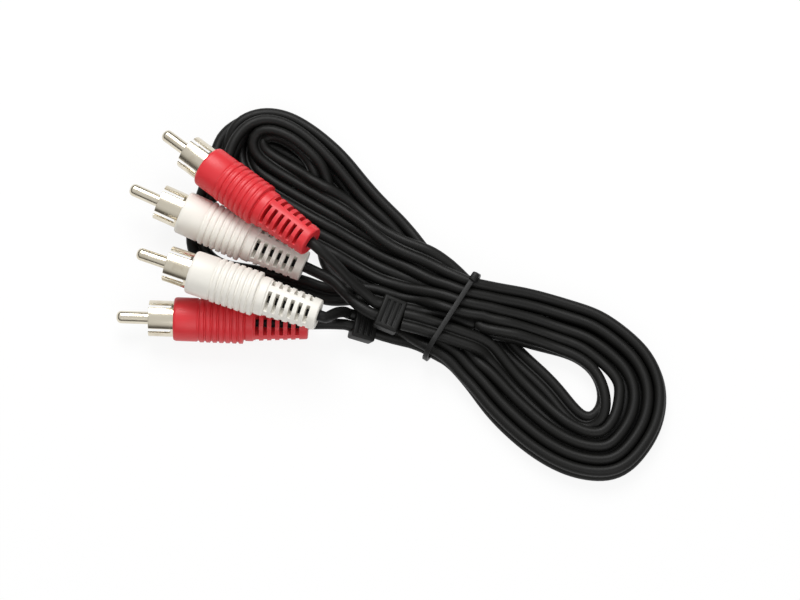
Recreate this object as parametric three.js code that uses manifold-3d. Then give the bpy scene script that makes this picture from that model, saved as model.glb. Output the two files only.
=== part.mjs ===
// Stereo phono lead, tied in a hank as it is sold: two plugs at each end, a twin cord between.
// Millimetres, +Z up. The hank's long axis is +X, and the lead lies on the plane z = 0.
import * as THREE from 'three';
import * as BufferGeometryUtils from 'three/addons/utils/BufferGeometryUtils.js';
import Module from 'manifold-3d';

const wasm = await Module();
wasm.setup();

// Sizes that several pieces share
const clearance = 0.3; // between pieces that touch on the real lead
const wireRadius = 1.4; // jacket of one conductor
const twinPitch = 3.0; // between the two conductors of the twin cord
const facets = 16; // round the grips and rings
const innerFacets = 12; // round the pins and what the grips hide

// Plug, measured along its axis from the tail of the grip
const grip = {
  length: 34.3,
  bodyRadius: 5.6,
  frontRound: 0.9, // along the axis
  frontInset: 0.5, // across it
  ribRadius: 5.75,
  ribPitch: 1.667,
  ribCount: 7,
  grooveDepth: 0.4,
  grooveWidth: 0.6,
  waist: 16.2, // middle of the deep groove behind the ribs
  waistRadius: 4.75,
  stepLength: 2.0,
  stepRadius: 5.0,
  reliefRadius: 4.85,
  tailRadius: 4.0,
  tailChamfer: 0.4,
};
const slot = { rows: 4, count: 6, pitch: 2.05, width: 1.0, first: 2.65, spine: 1.5 };
const ring = {
  reach: 6.4, // stands out of the grip
  radius: 4.6,
  wall: 0.5,
  chamfer: 0.2,
  slotWidth: 1.3,
  slotLength: 5.8,
  seatDepth: 3.1, // sits in the mouth of the grip
  neckRadius: 3.6,
  neckLength: 9.2,
  turn: 13, // of its slots against the rows in the grip
};
const pin = { reach: 8.3, radius: 1.6, tipRound: 1.2, tailRadius: 0.9, tailLength: 4.3 };
const insulator = { flange: 1.5, bodyInset: 1.5 };
const mould = { length: 5.6, leadDepth: 2.2 };

// Where each plug's tail lies, the way it points, and how it is turned on its axis
const plugs = [
  { name: 'red_plug_a', shade: 'red', tail: [-25.8, 5.1, 18.9], yaw: 173.2, pitch: -6.5, roll: -27 },
  { name: 'white_plug_a', shade: 'white', tail: [-25.7, 1.4, 7.3], yaw: 187.9, pitch: 3.6, roll: -27 },
  { name: 'white_plug_b', shade: 'white', tail: [-14.3, -9.5, 16.6], yaw: 192.3, pitch: -0.8, roll: -27 },
  { name: 'red_plug_b', shade: 'red', tail: [-17.0, -10.5, 5.75], yaw: 209.9, pitch: 0, roll: -27 },
];

// Splitter: the block where the twin cord parts into two leads, its face towards the leads
const block = { length: 6.2, width: 8.6, height: 4.4, round: 0.5 };
const groove = { count: 3, pitch: 1.5, width: 0.7, length: 6.4, depth: 0.5 };
const splitters = [
  { name: 'splitter_a', centre: [-0.2, 1.9, 8.7], yaw: 191, pitch: 8 },
  { name: 'splitter_b', centre: [-5.2, -2.6, 3.6], yaw: 200, pitch: 20 },
];

// Single leads: the free stretch of each, from its splitter to its plug
const leadStep = 3.2; // length of one step of a lead's tube
const leads = [
  { name: 'red_lead_a', splitter: 0, side: -1, plug: 0,
    route: [[-8.6, 2.9, 10.6], [-13.0, 3.2, 13.4], [-17.6, 4.0, 16.4], [-21.6, 4.5, 18.5]] },
  { name: 'white_lead_a', splitter: 0, side: 1, plug: 1,
    route: [[-8.8, -0.3, 9.0], [-13.4, 0.9, 8.2], [-18.0, 2.0, 7.5]] },
  { name: 'white_lead_b', splitter: 1, side: -1, plug: 2,
    route: [[-10.6, -2.9, 7.6], [-11.2, -4.2, 10.8], [-11.4, -6.2, 13.8], [-11.9, -8.2, 15.8]] },
  { name: 'red_lead_b', splitter: 1, side: 1, plug: 3,
    route: [[-12.4, -7.7, 5.9]] },
];

// Tie round the waist of the hank
const tie = {
  x: 13.0, y: 10.5, width: 1.3, thickness: 1.0, halfWidth: 12.2, low: 1.1, high: 10.1, corner: 4.2,
  knotRadius: 1.0, knotLength: 2.4,
};

// Hank: the outer shape of the tied turns
const twinHeight = 2 * wireRadius + twinPitch; // a twin that stands on its edge
const hank = { waistFrom: 3.6, waistTo: 21, edge: 0.9 };
const leftOutline = [
  [4.0, 22.4], [-10.4, 26.0], [-21.0, 29.6], [-32.6, 33.1], [-43.0, 35.1], [-52.3, 34.8],
  [-59.6, 30.6], [-63.2, 24.2], [-62.8, 15.8], [-58.5, 9.6], [-46.0, 6.4], [-30.0, 7.6],
  [-14.0, 6.4], [-7.0, 5.2], [-3.2, 2.8], [0.8, -0.9], [6.0, -1.6],
];
const rightOutline = [
  [20.0, 25.4], [26.3, 28.0], [35.6, 30.9], [46.0, 32.7], [58.0, 31.2], [65.8, 27.3], [70.4, 22.2],
  [73.1, 15.2], [73.5, 8.0], [71.5, -0.9], [68.2, -4.8], [59.2, -8.5], [48.4, -9.0], [35.5, -6.6],
  [23.4, -2.2],
];
// Where the table shows through the right end's turns
const eyes = [
  [[33.4, 13.4], [39.5, 16.6], [45.6, 17.8], [51.2, 16.4], [54.8, 12.6], [54.4, 8.4], [49.0, 9.6],
    [41.0, 12.2]],
  [[54.6, 17.6], [57.0, 17.6], [58.7, 15.0], [58.6, 12.8], [57.4, 12.8], [56.4, 15.0]],
];
// The outermost turn lies flat where it passes under the plugs
const flatTurn = [
  [-60.3, 18.5], [-59.8, 13.8], [-59.0, 9.4], [-56.4, -0.4], [-54.0, -6.2], [-50.4, -9.2],
  [-44.4, -9.3], [-37.2, -6.6], [-30.2, -2.4], [-24.0, 0.9], [-18.6, 2.6], [-13.0, 3.6], [-8.0, 5.6],
];
// Two turns cross under the upper plug
const crossing = { centre: [-54.0, 9.8], length: 11, width: 5.8, height: 8.8 };

const shades = {
  red: new THREE.MeshStandardMaterial({ color: 0xd6343a, roughness: 0.5, metalness: 0 }),
  white: new THREE.MeshStandardMaterial({ color: 0xe9e6df, roughness: 0.5, metalness: 0 }),
  nickel: new THREE.MeshStandardMaterial({ color: 0xd9d3c6, roughness: 0.22, metalness: 1 }),
  insulator: new THREE.MeshStandardMaterial({ color: 0xe6dcc6, roughness: 0.6, metalness: 0 }),
  mould: new THREE.MeshStandardMaterial({ color: 0xcfcabc, roughness: 0.7, metalness: 0 }),
  cord: new THREE.MeshStandardMaterial({ color: 0x1b1b1a, roughness: 0.55, metalness: 0 }),
  tie: new THREE.MeshStandardMaterial({ color: 0x1f1f20, roughness: 0.4, metalness: 0 }),
};

// Turning, joining and cutting

// A profile of [x, radius] pairs, turned about the X axis
function turned(profile, sides) {
  const points = profile.map(([x, radius]) => new THREE.Vector2(radius, x));
  return new THREE.LatheGeometry(points, sides).rotateZ(-Math.PI / 2);
}

function toSolid(geometry) {
  const bare = geometry.index ? geometry.toNonIndexed() : geometry.clone();
  bare.deleteAttribute('normal');
  bare.deleteAttribute('uv');
  const merged = BufferGeometryUtils.mergeVertices(bare, 1e-4);
  return new wasm.Manifold(new wasm.Mesh({
    numProp: 3,
    vertProperties: new Float32Array(merged.attributes.position.array),
    triVerts: new Uint32Array(merged.index.array),
  }));
}

function toGeometry(solid) {
  const mesh = solid.getMesh();
  const geometry = new THREE.BufferGeometry();
  geometry.setAttribute('position', new THREE.BufferAttribute(mesh.vertProperties, mesh.numProp));
  geometry.setIndex(new THREE.BufferAttribute(mesh.triVerts, 1));
  geometry.computeVertexNormals();
  return geometry;
}

function cut(geometry, cutters) {
  return toGeometry(cutters.reduce((solid, cutter) => solid.subtract(toSolid(cutter)), toSolid(geometry)));
}

function join(geometries) {
  const solids = geometries.map(toSolid);
  return toGeometry(solids.reduce((whole, solid) => whole.add(solid)));
}

// An outline through the given points; a closed one drops the point where it meets itself
function outline(points, closed) {
  const curve = new THREE.CatmullRomCurve3(points.map(([x, y]) => new THREE.Vector3(x, y, 0)), closed);
  const along = curve.getPoints(points.length * 3).map((p) => new THREE.Vector2(p.x, p.y));
  return closed ? along.slice(1) : along;
}

function raised(shape, from, to) {
  const solid = new THREE.ExtrudeGeometry(shape, { depth: to - from, curveSegments: 4, bevelEnabled: false });
  return solid.translate(0, 0, from);
}

// Pieces of a plug, each along +X with the tail of the grip at the origin

function gripGeometry() {
  const front = grip.length;
  const stepBack = grip.waist - grip.grooveWidth / 2 - grip.stepLength;
  const profile = [
    [0, grip.tailRadius - grip.tailChamfer],
    [grip.tailChamfer, grip.tailRadius],
    [stepBack - grip.grooveWidth, grip.reliefRadius],
    [stepBack - grip.grooveWidth / 2, grip.reliefRadius - grip.grooveDepth / 2],
    [stepBack, grip.stepRadius],
    [grip.waist - grip.grooveWidth / 2, grip.stepRadius],
    [grip.waist, grip.waistRadius],
  ];
  for (let i = 1; i <= grip.ribCount; i += 1) {
    const groove = grip.waist + i * grip.ribPitch;
    profile.push([groove - grip.ribPitch + grip.grooveWidth / 2, grip.ribRadius]);
    profile.push([groove - grip.grooveWidth / 2, grip.ribRadius]);
    profile.push([groove, grip.ribRadius - grip.grooveDepth]);
  }
  const bodyFrom = grip.waist + grip.ribCount * grip.ribPitch + grip.grooveWidth / 2;
  profile.push([bodyFrom, grip.bodyRadius]);
  for (const turn of [0, 30, 60, 90].map(THREE.MathUtils.degToRad)) {
    profile.push([
      front - grip.frontRound * (1 - Math.sin(turn)),
      grip.bodyRadius - grip.frontInset * (1 - Math.cos(turn)),
    ]);
  }
  const leadBore = wireRadius + clearance;
  const neckBore = ring.neckRadius + clearance;
  const mouthBore = ring.radius + clearance;
  const mouthFrom = front - ring.seatDepth - clearance;
  const cavityFrom = mouldFrom() - clearance;
  profile.push([front, mouthBore], [mouthFrom, mouthBore], [mouthFrom, neckBore]);
  profile.push([cavityFrom, neckBore], [cavityFrom, leadBore], [0, leadBore], profile[0]);
  return cut(turned(profile, facets), reliefSlots(leadBore));
}

// The slots that let the tail of the grip bend, in rows with a spine between them
function reliefSlots(leadBore) {
  const inner = leadBore - slot.width / 2;
  const outer = grip.stepRadius + slot.width;
  const half = Math.PI / slot.rows - slot.spine / 2 / grip.tailRadius;
  const cutters = [];
  for (let row = 0; row < slot.rows; row += 1) {
    const middle = (row * 2 * Math.PI) / slot.rows;
    const sector = new THREE.Shape();
    sector.absarc(0, 0, outer, middle - half, middle + half, false);
    sector.absarc(0, 0, inner, middle + half, middle - half, true);
    for (let i = 0; i < slot.count; i += 1) {
      const cutter = new THREE.ExtrudeGeometry(sector, {
        depth: slot.width, curveSegments: 5, bevelEnabled: false,
      });
      cutter.rotateY(Math.PI / 2);
      cutters.push(cutter.translate(slot.first + i * slot.pitch - slot.width / 2, 0, 0));
    }
  }
  return cutters;
}

const ringFront = grip.length + ring.reach;
const ringBack = grip.length - ring.seatDepth;
const neckBack = ringBack - ring.neckLength;

function ringGeometry() {
  const bore = ring.radius - ring.wall;
  const neckBore = ring.neckRadius - ring.wall;
  const body = turned([
    [neckBack, neckBore],
    [neckBack, ring.neckRadius],
    [ringBack, ring.neckRadius],
    [ringBack, ring.radius],
    [ringFront - ring.chamfer, ring.radius],
    [ringFront, ring.radius - ring.chamfer],
    [ringFront, bore],
    [ringBack + ring.wall, bore],
    [ringBack + ring.wall, neckBore],
    [neckBack, neckBore],
  ], facets);
  const slots = [1, -1].map((side) => {
    const cutter = new THREE.BoxGeometry(2 * ring.slotLength, 3 * ring.radius, ring.slotWidth);
    return cutter.rotateX((side * Math.PI) / 4).translate(ringFront, 0, 0);
  });
  return cut(body, slots).rotateX(THREE.MathUtils.degToRad(ring.turn));
}

function insulatorGeometry() {
  const back = ringBack + ring.wall + clearance;
  const flangeRadius = ring.radius - ring.wall - clearance;
  const bodyRadius = ring.neckRadius - ring.wall - clearance;
  const bore = pin.radius + clearance;
  return turned([
    [neckBack + insulator.bodyInset, bore],
    [neckBack + insulator.bodyInset, bodyRadius],
    [back, bodyRadius],
    [back, flangeRadius],
    [back + insulator.flange, flangeRadius],
    [back + insulator.flange, bore],
    [neckBack + insulator.bodyInset, bore],
  ], innerFacets);
}

function mouldFrom() {
  return neckBack - clearance - mould.length;
}

function pinGeometry() {
  const tip = ringFront + pin.reach;
  const tailEnd = mouldFrom() + mould.leadDepth + clearance;
  const shoulder = tailEnd + pin.tailLength;
  const profile = [[tailEnd, 0], [tailEnd, pin.tailRadius], [shoulder, pin.tailRadius], [shoulder, pin.radius]];
  for (const turn of [0, 30, 60].map(THREE.MathUtils.degToRad)) {
    profile.push([
      tip - pin.tipRound * (1 - Math.sin(turn)),
      pin.radius - pin.tipRound * (1 - Math.cos(turn)),
    ]);
  }
  profile.push([tip, 0]);
  return turned(profile, innerFacets);
}

function mouldGeometry() {
  const back = mouldFrom();
  const front = neckBack - clearance;
  const floor = back + mould.leadDepth;
  const leadBore = wireRadius + clearance;
  const tailBore = pin.tailRadius + clearance;
  return turned([
    [back, leadBore],
    [back, ring.neckRadius],
    [front, ring.neckRadius],
    [front, tailBore],
    [floor, tailBore],
    [floor, leadBore],
    [back, leadBore],
  ], innerFacets);
}

// A group whose +X axis points by the given yaw and pitch
function posed({ tail, centre, yaw, pitch, roll = 0 }) {
  const group = new THREE.Group();
  group.position.set(...(tail ?? centre));
  const angles = [roll, -pitch, yaw].map(THREE.MathUtils.degToRad);
  group.rotation.set(angles[0], angles[1], angles[2], 'ZYX');
  group.updateMatrixWorld();
  return group;
}

function piece(name, geometry, shade) {
  const mesh = new THREE.Mesh(geometry, shades[shade].clone());
  mesh.name = name;
  return mesh;
}

function plug(spec) {
  const group = posed(spec);
  group.add(piece(`${spec.name}_grip`, gripGeometry(), spec.shade));
  group.add(piece(`${spec.name}_ring`, ringGeometry(), 'nickel'));
  group.add(piece(`${spec.name}_pin`, pinGeometry(), 'nickel'));
  group.add(piece(`${spec.name}_insulator`, insulatorGeometry(), 'insulator'));
  group.add(piece(`${spec.name}_inner_mould`, mouldGeometry(), 'mould'));
  return group;
}

function splitter(spec) {
  const group = posed(spec);
  const half = { x: block.length / 2 - block.round, y: block.width / 2 - block.round };
  const shape = new THREE.Shape([
    new THREE.Vector2(-half.x, -half.y),
    new THREE.Vector2(half.x, -half.y),
    new THREE.Vector2(half.x, half.y),
    new THREE.Vector2(-half.x, half.y),
  ]);
  const body = new THREE.ExtrudeGeometry(shape, {
    depth: block.height - 2 * block.round,
    bevelThickness: block.round,
    bevelSize: block.round,
    bevelSegments: 2,
  });
  body.translate(0, 0, block.round - block.height / 2);
  const cutters = [];
  for (const side of [1, -1]) {
    for (let i = 0; i < groove.count; i += 1) {
      const x = (i - (groove.count - 1) / 2) * groove.pitch;
      const cutter = new THREE.BoxGeometry(groove.width, groove.length, 2 * groove.depth);
      cutters.push(cutter.translate(x, 0, (side * block.height) / 2));
    }
  }
  group.add(piece(spec.name, cut(body, cutters), 'cord'));
  return group;
}

// A lead runs from its splitter to its plug, and on along the plug's axis into the inner mould
function leadGeometry(spec) {
  const from = posed(splitters[spec.splitter]);
  const to = posed(plugs[spec.plug]);
  const side = (spec.side * twinPitch) / 2;
  const face = block.length / 2 + clearance;
  const starts = [face, face + wireRadius].map((x) => from.localToWorld(new THREE.Vector3(x, side, 0)));
  const free = spec.route.map((point) => new THREE.Vector3(...point));
  const end = mouldFrom() + mould.leadDepth - clearance;
  const ends = [-wireRadius, 0, end / 3, (2 * end) / 3, end];
  const inside = ends.map((x) => to.localToWorld(new THREE.Vector3(x, 0, 0)));
  const curve = new THREE.CatmullRomCurve3([...starts, ...free, ...inside]);
  const section = new THREE.Shape();
  section.absarc(0, 0, wireRadius, 0, 2 * Math.PI, false);
  return new THREE.ExtrudeGeometry(section, {
    extrudePath: curve,
    steps: Math.round(curve.getLength() / leadStep),
    curveSegments: 4, // of each half of the section
  });
}

// A rounded loop in the YZ plane, with a knot at one shoulder
function tieGeometry() {
  const loop = (grow) => {
    const half = tie.halfWidth + grow;
    const low = tie.low - grow;
    const high = tie.high + grow;
    const corner = tie.corner + grow;
    const shape = new THREE.Shape();
    shape.absarc(half - corner, high - corner, corner, 0, Math.PI / 2, false);
    shape.absarc(corner - half, high - corner, corner, Math.PI / 2, Math.PI, false);
    shape.absarc(corner - half, low + corner, corner, Math.PI, 1.5 * Math.PI, false);
    shape.absarc(half - corner, low + corner, corner, 1.5 * Math.PI, 2 * Math.PI, false);
    return shape;
  };
  const band = loop(tie.thickness);
  band.holes.push(loop(0));
  const ringBand = new THREE.ExtrudeGeometry(band, { depth: tie.width, curveSegments: 3, bevelEnabled: false });
  ringBand.translate(0, 0, -tie.width / 2);
  const knot = new THREE.CylinderGeometry(tie.knotRadius, tie.knotRadius, tie.knotLength, 8);
  knot.rotateX(Math.PI / 2);
  knot.translate(tie.halfWidth - tie.corner / 3, tie.high + tie.thickness / 3, 0);
  const whole = join([ringBand, knot]);
  // Shape x, y and depth become world y, z and x
  whole.applyMatrix4(new THREE.Matrix4().set(0, 0, 1, tie.x, 1, 0, 0, tie.y, 0, 1, 0, 0, 0, 0, 0, 1));
  return whole;
}

// A flat band of the given half width along a route
function band(route, halfWidth) {
  const curve = new THREE.CatmullRomCurve3(route.map(([x, y]) => new THREE.Vector3(x, y, 0)));
  const steps = route.length * 3;
  const left = [];
  const right = [];
  for (let i = 0; i <= steps; i += 1) {
    const at = curve.getPointAt(i / steps);
    const along = curve.getTangentAt(i / steps);
    left.push(new THREE.Vector2(at.x - along.y * halfWidth, at.y + along.x * halfWidth));
    right.unshift(new THREE.Vector2(at.x + along.y * halfWidth, at.y - along.x * halfWidth));
  }
  return new THREE.Shape([...left, ...right]);
}

function roundEnded({ centre, length, width }) {
  const shape = new THREE.Shape();
  const reach = (length - width) / 2;
  shape.absarc(centre[0] + reach, centre[1], width / 2, -Math.PI / 2, Math.PI / 2, false);
  shape.absarc(centre[0] - reach, centre[1], width / 2, Math.PI / 2, 1.5 * Math.PI, false);
  return shape;
}

function hankGeometry() {
  const gap = tie.width / 2 + clearance;
  const top = tie.y + tie.halfWidth - clearance;
  const bottom = tie.y - tie.halfWidth + clearance;
  const left = new THREE.Shape([
    new THREE.Vector2(tie.x - gap, bottom),
    new THREE.Vector2(tie.x - gap, top),
    ...outline(leftOutline, false),
  ]);
  const right = new THREE.Shape([
    new THREE.Vector2(tie.x + gap, top),
    ...outline(rightOutline, false),
    new THREE.Vector2(tie.x + gap, bottom),
  ]);
  const waistLow = tie.low + clearance;
  const waistHigh = tie.high - clearance;
  const corner = tie.corner - clearance;
  const waist = new THREE.Shape();
  waist.absarc(top - corner, waistHigh - corner, corner, 0, Math.PI / 2, false);
  waist.absarc(bottom + corner, waistHigh - corner, corner, Math.PI / 2, Math.PI, false);
  waist.absarc(bottom + corner, waistLow + corner, corner, Math.PI, 1.5 * Math.PI, false);
  waist.absarc(top - corner, waistLow + corner, corner, 1.5 * Math.PI, 2 * Math.PI, false);
  const waistSolid = new THREE.ExtrudeGeometry(waist, {
    depth: hank.waistTo - hank.waistFrom, curveSegments: 3, bevelEnabled: false,
  });
  waistSolid.applyMatrix4(new THREE.Matrix4().set(0, 0, 1, hank.waistFrom, 1, 0, 0, 0, 0, 1, 0, 0, 0, 0, 0, 1));
  const openings = eyes.map((eye) => raised(new THREE.Shape(outline(eye, true)), -hank.edge, twinHeight + hank.edge));
  return join([
    raised(left, 0, twinHeight),
    cut(raised(right, 0, twinHeight), openings),
    waistSolid,
    raised(band(flatTurn, twinHeight / 2), 0, 2 * wireRadius),
    raised(roundEnded(crossing), 0, crossing.height),
  ]);
}

const lead = new THREE.Group();
for (const spec of plugs) {
  lead.add(plug(spec));
}
for (const spec of splitters) {
  lead.add(splitter(spec));
}
for (const spec of leads) {
  lead.add(piece(spec.name, leadGeometry(spec), 'cord'));
}
lead.add(piece('tie', tieGeometry(), 'tie'));
lead.add(piece('twin_cord_hank', hankGeometry(), 'cord'));

export default lead;
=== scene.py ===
# Stereo phono lead, tied in a hank: two plugs at each end and a twin cord between
import math

import bpy
import numpy as np
from mathutils import Matrix, Vector


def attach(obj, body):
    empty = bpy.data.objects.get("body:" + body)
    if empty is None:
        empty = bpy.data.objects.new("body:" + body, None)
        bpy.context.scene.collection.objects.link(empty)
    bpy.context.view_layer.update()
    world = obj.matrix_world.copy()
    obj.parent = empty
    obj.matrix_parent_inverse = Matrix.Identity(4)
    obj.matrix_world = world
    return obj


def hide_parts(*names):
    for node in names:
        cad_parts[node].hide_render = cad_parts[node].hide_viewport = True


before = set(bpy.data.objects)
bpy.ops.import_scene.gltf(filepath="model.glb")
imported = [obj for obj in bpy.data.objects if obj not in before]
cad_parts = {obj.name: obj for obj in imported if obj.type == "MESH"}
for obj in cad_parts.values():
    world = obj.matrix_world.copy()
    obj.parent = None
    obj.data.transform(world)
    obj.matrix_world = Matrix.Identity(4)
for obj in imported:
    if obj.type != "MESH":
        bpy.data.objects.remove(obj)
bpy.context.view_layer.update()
millimetre = 0.001

# Camera, at the photograph's viewing angle
cameraView = {
    "place": (0.1337, -0.2114, 0.9689),
    "turn": (15, 0, 32),
    "lens": 175.5,
    "shift": (0.01, -0.0075),
}


def addCamera():
    data = bpy.data.cameras.new("camera")
    data.lens = cameraView["lens"]
    data.shift_x, data.shift_y = cameraView["shift"]
    camera = bpy.data.objects.new("camera", data)
    camera.location = cameraView["place"]
    camera.rotation_euler = [math.radians(angle) for angle in cameraView["turn"]]
    bpy.context.scene.collection.objects.link(camera)
    bpy.context.scene.camera = camera


addCamera()
print("camera placed")

# Cords. Places are in millimetres, as in the part's source

plugPoses = {
    "red_plug_a": {"tail": (-25.8, 5.1, 18.9), "yaw": 173.2, "pitch": -6.5},
    "white_plug_a": {"tail": (-25.7, 1.4, 7.3), "yaw": 187.9, "pitch": 3.6},
    "white_plug_b": {"tail": (-14.3, -9.5, 16.6), "yaw": 192.3, "pitch": -0.8},
    "red_plug_b": {"tail": (-17.0, -10.5, 5.75), "yaw": 209.9, "pitch": 0},
}
splitterPoses = {
    "splitter_a": {"tail": (-0.2, 1.9, 8.7), "yaw": 191, "pitch": 8},
    "splitter_b": {"tail": (-5.2, -2.6, 3.6), "yaw": 200, "pitch": 20},
}
plugRoll = -27

twinCord = {
    "wire": 2.8,  # outside diameter of each conductor
    "pitch": 3.0,  # between the two conductors
    "web": 0.9,  # thickness of the web that joins them
    "corners": 15,  # of the section, on each conductor
    "step": 1.3,  # between the rings of the swept mesh
    "give": 0.2,  # most that the web stretches or narrows on either side
    "insets": (0, 2.9, 6.0, 9.75),  # of the turns at the right end
    "leans": (86, 84, 76, 118),  # of those turns
    "edgeHeight": 2.9,  # of its middle where it stands on its edge
}
settling = {
    "rounds": 200,
    "lookEvery": 12,  # rounds between searches for close stretches
    "margin": 1.0,  # further than a wire that the search reaches
    "neighbours": 4,  # along the cord, which don't count as close
    "ends": 4,  # points at either end that are held
    "keep": 0.99,  # of the way that a point was pushed
    "spread": 0.4,  # of that way, to the neighbours
    "sag": 0.012,
    "push": 0.3,  # of an overlap, on either side
    "lift": 0.5,  # of the way out of a splitter
}

# The outermost turn at the right end, seen from above
rightTurn = [
    (18, 1.0), (24.5, -0.8), (35.7, -5.0), (48.3, -7.4), (58.8, -6.9), (67.0, -3.5), (70.8, 1.2),
    (72.1, 8), (71.6, 14.9), (69.0, 21.3), (64.6, 26.2), (57.5, 29.8), (45.8, 31.3), (36, 29.4),
    (26.8, 26.4), (19, 22.8),
]
# The passes between those turns: x, y, z and lean, which is 0 where the twin lies flat
# and 90 where it stands on its edge
passes = {
    "fromLowerSplitter": [
        (-2.2, -1.5, 2.5, 0), (1.2, -0.6, 2.5, 20), (5, 0.1, 3.2, 60), (9, 0.5, 3.9, 90),
        (13, 0.7, 4.2, 90),
    ],
    "firstFold": [
        (13, 20.2, 7.0, 90), (9, 20.5, 7.2, 60), (4, 20.7, 7.2, 25), (-1, 20.6, 6.9, 5),
        (-8, 19.6, 6.4, 0), (-19, 20.2, 5.0, 0), (-30, 21.6, 4.4, 0), (-40, 21.6, 4.3, 0),
        (-47, 21.3, 4.3, 5), (-51.4, 21.5, 4.4, 15), (-54.4, 23.1, 4.8, 35), (-54.8, 25.9, 5.1, 65),
        (-52.4, 27.9, 5.3, 85), (-47, 28.7, 5.4, 90), (-41, 27.7, 5.2, 90), (-35.0, 25.0, 4.2, 80),
        (-29.8, 19.4, 2.2, 30), (-25.8, 12.4, 1.4, 0), (-21.4, 7.0, 1.4, 0), (-16, 5.3, 1.4, 0),
        (-8, 5.6, 1.4, 0), (0, 5.8, 1.8, 20), (7, 4.4, 3.4, 70), (13, 3.5, 4.2, 90),
    ],
    "secondFold": [
        (13, 17.3, 7.0, 90), (9, 17.4, 6.8, 70), (4, 17.2, 6.0, 35), (-1, 16.8, 5.2, 10),
        (-10, 16.2, 4.4, 0), (-19, 16.3, 4.3, 0), (-28, 16.2, 4.3, 0), (-38, 15.9, 4.3, 0),
        (-46, 15.9, 4.3, 0), (-52, 17.2, 3.6, 0), (-55.8, 20.4, 2.2, 0), (-57.2, 24.0, 1.5, 0),
        (-54.8, 26.0, 1.4, 0), (-50.4, 27.0, 1.4, 0), (-44.6, 27.0, 1.4, 0), (-38, 26.8, 1.4, 0),
        (-30, 24.5, 1.4, 0), (-23, 21.9, 1.4, 0), (-16, 18.4, 1.4, 0), (-8, 14.6, 1.4, 0),
        (0, 11.2, 1.6, 0), (7, 8.6, 2.3, 0), (13, 7.8, 2.7, 20),
    ],
    "thirdFold": [
        (13, 14.4, 7.0, 90), (9, 14.2, 6.8, 70), (4, 13.2, 5.8, 35), (-1, 12.3, 5.0, 5),
        (-10, 11.1, 4.3, 0), (-18.5, 11.0, 4.3, 0), (-26, 10.6, 4.3, 0), (-35, 9.4, 4.3, 0),
        (-44, 8.6, 4.3, 20), (-51, 9.2, 4.8, 60), (-56.2, 12.4, 5.6, 90), (-58.6, 17.4, 5.8, 90),
        (-59.0, 22.6, 5.8, 90), (-57.6, 27.2, 5.8, 90), (-53.4, 30.6, 5.8, 90), (-47.4, 31.6, 5.7, 90),
        (-40, 30.7, 5.3, 90), (-32, 28.5, 4.6, 90), (-24, 25.5, 3.8, 90), (-16, 22.7, 3.2, 90),
        (-9, 20.6, 2.8, 75), (-3, 18.0, 2.2, 45), (3, 16.0, 1.6, 10), (8, 14.4, 2.2, 0),
        (13, 13.4, 2.8, 0),
    ],
    "innerTurn": [
        (17.5, 12.6, 4.2, 30), (22, 12.8, 5.4, 75), (27, 14.1, 5.4, 75), (32.6, 15.8, 4.6, 72),
        (38, 17.8, 3.5, 75), (44.4, 19.2, 2.9, 85), (50.4, 18.6, 2.9, 90), (55.2, 15.6, 2.9, 90),
        (58.2, 11.2, 2.7, 80), (58.4, 7.2, 2.2, 50), (55.6, 4.9, 1.6, 20), (50.8, 6.0, 1.4, 0),
        (45.2, 8.2, 1.4, 0), (40, 9.7, 1.4, 0), (34, 11.0, 1.4, 0), (28, 12.9, 1.4, 0),
        (22, 15.8, 1.6, 0), (17.5, 17.8, 2.2, 0),
    ],
    "outerFold": [
        (13, 19.2, 2.8, 0), (7, 20.4, 2.7, 30), (2, 21.4, 2.8, 70), (-4, 22.5, 2.9, 90),
        (-10.4, 24.1, 2.9, 90), (-21, 27.7, 2.9, 90), (-32.6, 31.5, 2.9, 90), (-43, 33.8, 2.9, 90),
        (-52.3, 33.5, 2.9, 90), (-58.8, 30.0, 2.9, 90), (-61.9, 25.0, 2.9, 85), (-62.0, 20.6, 2.2, 55),
        (-60.6, 16, 1.5, 15), (-59.6, 11.4, 1.4, 0), (-58.0, 5.0, 1.4, 0), (-56.4, -0.6, 1.4, 0),
        (-54.0, -6.0, 1.4, 0), (-50.2, -9.1, 1.4, 0), (-44.4, -9.4, 1.4, 0), (-37.2, -6.6, 1.4, 0),
        (-30.2, -3.8, 1.4, 0), (-24, -1.8, 1.4, 0), (-18.6, -0.6, 1.4, 0), (-14.5, 1.6, 2.3, 0),
        (-11, 3.8, 3.7, 0), (-8, 5.3, 4.3, 0), (-4, 6.4, 4.4, 0), (0, 7.5, 4.4, 5), (4, 8.8, 4.8, 30),
        (8.5, 10.4, 6.2, 70), (13, 11.4, 7.0, 90),
    ],
    "toUpperSplitter": [
        (30, 6.4, 3.8, 145), (24, 7.2, 5.6, 160), (18.5, 6.5, 7.4, 172), (13, 5.3, 8.5, 180),
        (8, 4.1, 8.8, 180), (3.3, 2.6, 8.9, 180),
    ],
}
# The innermost turn lies close to the next one above, and flatter towards its splitter
innermost = {
    "index": 3, "upperFrom": 22, "nearer": 0.8, "flatterBelow": 6, "flatFrom": 62, "flatRate": 0.9,
    "left": (33, 12),  # x and y where the way to the upper splitter begins
}
waistRise = {"lower": 1.2, "upper": 3.0}  # of a turn's two ends, towards the waist
curveStep = 0.4  # between a curve's points before they are evened out
smoothings = 4  # of the twin cord's route


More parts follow.
